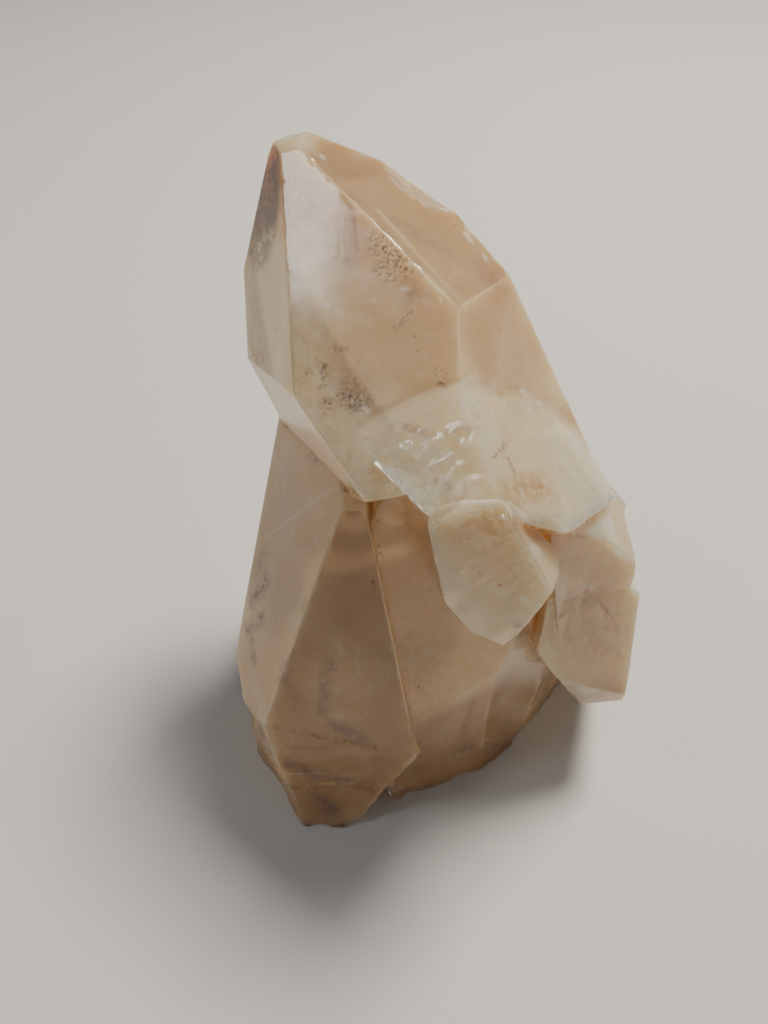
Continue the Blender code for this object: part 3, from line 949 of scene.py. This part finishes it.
@dataclass
class QuartzSkin:
    """The crystal group's visible surface: the solid's own faces, divided finely enough for low relief."""

    marks: MarksAndPaintedLight
    longest_edge: float = 1.1 * MM
    longest_edge_at_mark: float = 0.34 * MM
    longest_edge_on_fine: float = 0.55 * MM
    fine_ground: tuple[tuple[Sequence[float], float], ...] = (
        ((4, -18, 45), 6.5),
        ((-2, -11, 52), 6.0),
        ((16, -12, 29), 7.0),
        ((-13.5, 9, 65), 7.0),
    )
    most_passes: int = 11
    weld: float = 0.004 * MM
    sharp_from: float = math.radians(16)
    sharpest_bend: float = 0.02
    foot_height: float = 9.0
    # darker towards the bottom: partly a browner foot, partly painted shade near the floor
    foot_darkening: float = 0.9
    foot_break: float = 1.6
    slow_wander: Waves = (0.33, 0.0)
    quick_wander: Waves = (0.8, 9.0)
    coarse_grain: Waves = (0.55, 4.0)
    fine_grain: Waves = (1.3, 7.0)
    grain_depth: float = 0.28
    nibbles: Waves = (0.75, 21.0)
    nibble_gain: float = 3.0
    nibble_floor: float = 0.25
    wear_depth: float = 0.07
    smooth_slope: SmoothSlope = SmoothSlope((6.5, -8, 51), (13.5, -4, 46), 4.2, 40)
    ripples: tuple[Ripples, ...] = (
        Ripples((7, -18, 46), (-2.5, -11, 52.5), 3.6, 1.7, 0.15),
        Ripples((9, -14, 44), (-3, -12, 51.5), 3.2, 0.95, 0.08),
        Ripples((24, 8, 40), (12, -6, 46), 5.0, 4.0, 0.05),
        Ripples((-14, -6, 30), (-12, -19, 14), 9.0, 3.4, 0.10),
        Ripples((30, 0, 30), (17, -12, 27), 6.0, 2.2, 0.10),
        Ripples((22, 40, 30), (20, 18, 27), 12.0, 2.6, 0.35),
        Ripples((-20, 42, 30), (-11, 20, 24), 11.0, 2.4, 0.30),
    )
    growth_lines: tuple[GrowthLines, ...] = (
        GrowthLines((8, 2, 53), 6, (-0.505, 0.217, 0.836), 1.15, 0.04, (-32, 33), 9),
        GrowthLines((-17, 2, 50), 9, (-0.505, 0.217, 0.836), 0.90, 0.05, (-148, -12), 14),
        GrowthLines((-8, 20, 52), 16, (-0.505, 0.217, 0.836), 1.3, 0.07, (120, -22), 60),
        GrowthLines((16, 10, 50), 14, (-0.505, 0.217, 0.836), 1.3, 0.06, (28, 20), 30),
        GrowthLines((6, -18, 46.5), 4.4, (0.72, -0.2, -0.66), 1.3, 0.14, (-92, 16), 24),
    )

    def build(self) -> bpy.types.Object:
        """Builds the dense surface.

        Returns:
            The new object, in place.
        """
        places, faces = self.refine(*self.solid_faces())
        mesh = bpy.data.meshes.new("quartz_skin")
        mesh.from_pydata(places.tolist(), [], faces.tolist())
        mesh.shade_smooth()
        mesh.set_sharp_from_angle(angle=self.sharp_from)
        places = places / MM
        normals, edge = self.directions(places, faces)
        amounts = self.amounts(places, normals, edge)
        flowed = self.smooth_slope.settle(places, faces)
        sunk = flowed - normals * self.relief(places, normals, amounts)[:, None]
        sunk[:, 2] = np.maximum(sunk[:, 2], 0.0)
        mesh.vertices.foreach_set("co", (sunk * MM).astype(np.float32).ravel())
        mesh.update()
        for name, values in amounts.items():
            attribute = mesh.attributes.new(name, "FLOAT", "POINT")
            attribute.data.foreach_set("value", values.astype(np.float32))
        skin = bpy.data.objects.new("quartz_skin", mesh)
        bpy.context.scene.collection.objects.link(skin)
        return skin

    def solid_faces(self) -> tuple[np.ndarray, np.ndarray]:
        """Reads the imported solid's own surface.

        Returns:
            Its corners in metres, and its triangles as rows of three corner numbers.
        """
        bm = bmesh.new()
        bm.from_mesh(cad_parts[NODE].data)
        bmesh.ops.remove_doubles(bm, verts=bm.verts, dist=self.weld)
        bmesh.ops.triangulate(bm, faces=bm.faces)
        places = np.array([v.co for v in bm.verts])
        bm.verts.index_update()
        faces = np.array([[v.index for v in f.verts] for f in bm.faces])
        bm.free()
        return places, faces

    def directions(self, places: np.ndarray, faces: np.ndarray) -> tuple[np.ndarray, np.ndarray]:
        """Finds where the surface looks and where its edges run.

        Args:
            places: The corners, in millimetres.
            faces: The triangles.

        Returns:
            Each corner's direction, and its nearness to an edge from 0 to 1.
        """
        a, b, c = (places[faces[:, i]] for i in range(3))
        cross = np.cross(b - a, c - a)
        unit = cross / np.maximum(np.linalg.norm(cross, axis=1), 1e-12)[:, None]
        total, plain, count = np.zeros_like(places), np.zeros_like(places), np.zeros(len(places))
        for i in range(3):
            np.add.at(total, faces[:, i], cross)
            np.add.at(plain, faces[:, i], unit)
            np.add.at(count, faces[:, i], 1.0)
        normals = total / np.maximum(np.linalg.norm(total, axis=1), 1e-12)[:, None]
        bend = 1.0 - np.linalg.norm(plain / np.maximum(count, 1.0)[:, None], axis=1)
        return normals, clipped(bend / self.sharpest_bend)

    def relief(self, places: np.ndarray, normals: np.ndarray, amounts: dict[str, np.ndarray]) -> np.ndarray:
        """How far each corner sinks below the solid's own face.

        Args:
            places: The corners, in millimetres.
            normals: Their directions.
            amounts: The tints, the broken ground and the edges there.

        Returns:
            The depths in millimetres, none below 0.
        """
        wander = rumble(places, *self.slow_wander) + 0.5 * rumble(places, *self.quick_wander)
        depth = np.zeros(len(places))
        for ripple in self.ripples:
            depth += ripple.sink(places, wander)
        for lines in self.growth_lines:
            depth += lines.sink(places, normals, wander)
        grain = rumble(places, *self.coarse_grain) + 0.6 * rumble(places, *self.fine_grain)
        depth += self.grain_depth * amounts[Tint.BROKEN.value] * clipped(0.5 + 0.5 * grain)
        nibble = clipped(rumble(places, *self.nibbles) * self.nibble_gain - self.nibble_floor)
        depth += self.wear_depth * amounts[EDGE] * nibble
        return np.maximum(depth, 0.0)

    def refine(self, places: np.ndarray, faces: np.ndarray) -> tuple[np.ndarray, np.ndarray]:
        """Halves every edge that is too long for its ground, again and again, until none is.

        Args:
            places: The corners, one row each.
            faces: The triangles, as rows of three corner numbers.

        Returns:
            The new corners and triangles.
        """
        for _ in range(self.most_passes):
            sides = np.sort(np.concatenate([faces[:, [0, 1]], faces[:, [1, 2]], faces[:, [2, 0]]]), axis=1)
            keys, side_edge = np.unique(sides[:, 0] * len(places) + sides[:, 1], return_inverse=True)
            edges = np.stack([keys // len(places), keys % len(places)], axis=1)
            is_long = self.too_long(places, edges)
            if not is_long.any():
                break
            middle = np.full(len(edges), -1)
            middle[is_long] = len(places) + np.arange(is_long.sum())
            places = np.vstack([places, places[edges[is_long]].mean(axis=1)])
            middles = middle[side_edge.reshape(-1)].reshape(3, -1).T
            faces = self.divide(places, faces, middles)
        return places, faces

    def too_long(self, places: np.ndarray, edges: np.ndarray) -> np.ndarray:
        """Finds the edges that are too long for the ground that they cross.

        Args:
            places: The corners, in metres.
            edges: The edges, as rows of two corner numbers.

        Returns:
            True for each edge that is.
        """
        length = np.linalg.norm(places[edges[:, 0]] - places[edges[:, 1]], axis=1)
        is_long = length > self.longest_edge
        maybe = np.nonzero(~is_long & (length > self.longest_edge_at_mark))[0]
        middles = places[edges[maybe]].mean(axis=1) / MM
        is_long[maybe] = self.marks.near_thin(middles)
        for place, reach in self.fine_ground:
            is_fine = np.linalg.norm(middles - np.array(place), axis=1) < reach
            is_long[maybe] |= is_fine & (length[maybe] > self.longest_edge_on_fine)
        return is_long

    def divide(self, places: np.ndarray, faces: np.ndarray, middles: np.ndarray) -> np.ndarray:
        """Divides each triangle at the middles of its long sides.

        Args:
            places: The corners, with the middles among them.
            faces: The triangles, as rows of three corner numbers.
            middles: For each triangle, its three sides' middle corners, or -1 on a short side.

        Returns:
            The new triangles.
        """
        count = (middles >= 0).sum(axis=1)
        turn = np.where(count == 1, np.argmax(middles >= 0, axis=1), 0)
        turn = np.where(count == 2, (np.argmin(middles, axis=1) + 1) % 3, turn)
        order = (np.arange(3) + turn[:, None]) % 3
        a, b, c = np.take_along_axis(faces, order, axis=1).T
        ab, bc, ca = np.take_along_axis(middles, order, axis=1).T
        gap_a = np.linalg.norm(places[a] - places[bc], axis=1)
        gap_c = np.linalg.norm(places[c] - places[ab], axis=1)
        is_near_a, is_near_c = (count == 2) & (gap_a <= gap_c), (count == 2) & (gap_a > gap_c)
        pieces = (
            (count == 0, (a, b, c)),
            (count == 1, (a, ab, c)),
            (count == 1, (ab, b, c)),
            (count == 2, (ab, b, bc)),
            (is_near_a, (a, ab, bc)),
            (is_near_a, (a, bc, c)),
            (is_near_c, (a, ab, c)),
            (is_near_c, (ab, bc, c)),
            (count == 3, (a, ab, ca)),
            (count == 3, (ab, b, bc)),
            (count == 3, (ca, bc, c)),
            (count == 3, (ab, bc, ca)),
        )
        return np.concatenate([np.stack(corners, axis=1)[chosen] for chosen, corners in pieces])

    def amounts(self, places: np.ndarray, normals: np.ndarray, edge: np.ndarray) -> dict[str, np.ndarray]:
        """Finds what each corner's stone holds, and where shade, light and highlights are painted on it.

        Args:
            places: The corners, in millimetres.
            normals: Their directions.
            edge: Their nearness to an edge.

        Returns:
            The point amounts by name, from 0 to 1.
        """
        amounts = {tint.value: self.marks.amount(tint, places, normals) for tint in Tint}
        foot = clipped(1.0 - places[:, 2] / self.foot_height)
        smoke_and_shade, broken = Tint.SMOKE.value, Tint.BROKEN.value
        # darker towards the bottom: partly browner stone, partly painted shade near the floor
        amounts[smoke_and_shade] = np.maximum(amounts[smoke_and_shade], self.foot_darkening * foot)
        amounts[broken] = np.maximum(amounts[broken], clipped(self.foot_break * foot))
        amounts[EDGE] = edge
        return amounts

    def dress(self, skin: bpy.types.Object, finish: QuartzFinish) -> None:
        """Gives the surface its finish and ties it to the frame.

        Args:
            skin: The dense surface.
            finish: The stone that it is made of.
        """
        skin.data.materials.append(finish.make())
        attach(skin, BODY)
        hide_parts(NODE)


@dataclass(frozen=True)
class Lamp:
    """One soft light, width by height, turned about its own beam."""

    name: str
    place: Sequence[float]
    aim: Sequence[float]
    width: float
    height: float
    turn: float
    watts: float
    colour: Colour

    def hang(self) -> bpy.types.Object:
        """Hangs the light.

        Returns:
            The light's object.
        """
        data = bpy.data.lights.new(self.name, "AREA")
        data.shape = "RECTANGLE"
        data.size = self.width * MM
        data.size_y = self.height * MM
        data.energy = self.watts
        data.color = self.colour
        lamp = bpy.data.objects.new(self.name, data)
        lamp.location = in_mm(self.place)
        beam = in_mm(self.aim) - lamp.location
        turned = Quaternion((0, 0, 1), math.radians(self.turn))
        lamp.rotation_mode = "QUATERNION"
        lamp.rotation_quaternion = beam.to_track_quat("-Z", "Y") @ turned
        bpy.context.scene.collection.objects.link(lamp)
        return lamp


@dataclass
class Studio:
    """A pale floor with soft light from above."""

    floor_side: float = 3000.0
    floor_colour: Colour = (0.60, 0.60, 0.60)
    floor_roughness: float = 0.9
    sky: Colour = (0.5, 0.5, 0.5)
    sky_strength: float = 0.35
    lamps: tuple[Lamp, ...] = (
        Lamp("key_light", (190, 230, 560), (0, 0, 35), 180, 180, 0, 5.95, (1.0, 0.91, 0.77)),
        Lamp(
            "window_light",
            (-205.1, -39.2, 329.2),
            (-19.9, 19.8, 62.5),
            50, 78, -143.4, 0.13, (0.93, 0.96, 1.0),
        ),
    )

    def build(self) -> None:
        """Lays the floor, hangs the lamps and sets the sky."""
        self.lay_floor()
        for lamp in self.lamps:
            lamp.hang()
        world = bpy.data.worlds.new("sky")
        world.use_nodes = True
        background = world.node_tree.nodes["Background"]
        background.inputs["Color"].default_value = (*self.sky, 1.0)
        background.inputs["Strength"].default_value = self.sky_strength
        bpy.context.scene.world = world

    def lay_floor(self) -> bpy.types.Object:
        """Lays the plain floor.

        Returns:
            The floor's object.
        """
        half = self.floor_side * MM / 2
        corners = [(-half, -half, 0), (half, -half, 0), (half, half, 0), (-half, half, 0)]
        mesh = bpy.data.meshes.new("floor")
        mesh.from_pydata(corners, [], [(0, 1, 2, 3)])
        floor = bpy.data.objects.new("floor", mesh)
        bpy.context.scene.collection.objects.link(floor)
        material = bpy.data.materials.new("floor_paint")
        material.use_nodes = True
        shader = material.node_tree.nodes["Principled BSDF"]
        shader.inputs["Base Color"].default_value = (*self.floor_colour, 1.0)
        shader.inputs["Roughness"].default_value = self.floor_roughness
        mesh.materials.append(material)
        return floor


@dataclass
class ViewCamera:
    """The camera: held above and in front of the crystal, looking down at it."""

    place: Sequence[float] = (-6.29, -62.30, 100.0)
    pitch_down: float = 47.0
    lens: float = 27.04
    sensor: float = 36.0
    nearest: float = 1.0
    farthest: float = 10000.0

    def build(self) -> bpy.types.Object:
        """Makes the camera and gives it to the scene.

        Returns:
            The camera's object.
        """
        data = bpy.data.cameras.new("view_camera")
        data.lens = self.lens
        data.sensor_width = self.sensor
        data.clip_start = self.nearest * MM
        data.clip_end = self.farthest * MM
        camera = bpy.data.objects.new("view_camera", data)
        camera.location = in_mm(self.place)
        camera.rotation_euler = (math.radians(90 - self.pitch_down), 0.0, 0.0)
        bpy.context.scene.collection.objects.link(camera)
        bpy.context.scene.camera = camera
        return camera


def main() -> None:
    """Builds the skin, the stage and the camera, and reports each."""
    logging.basicConfig(level=logging.INFO, format="%(name)s: %(message)s")
    skin_maker = QuartzSkin(MarksAndPaintedLight())
    skin = skin_maker.build()
    skin_maker.dress(skin, QuartzFinish())
    log.info("%s has %d triangles", skin.name, len(skin.data.polygons))
    Studio().build()
    log.info("stage and lights are set")
    camera = ViewCamera().build()
    log.info("%s is set", camera.name)


if __name__ == "__main__":
    main()
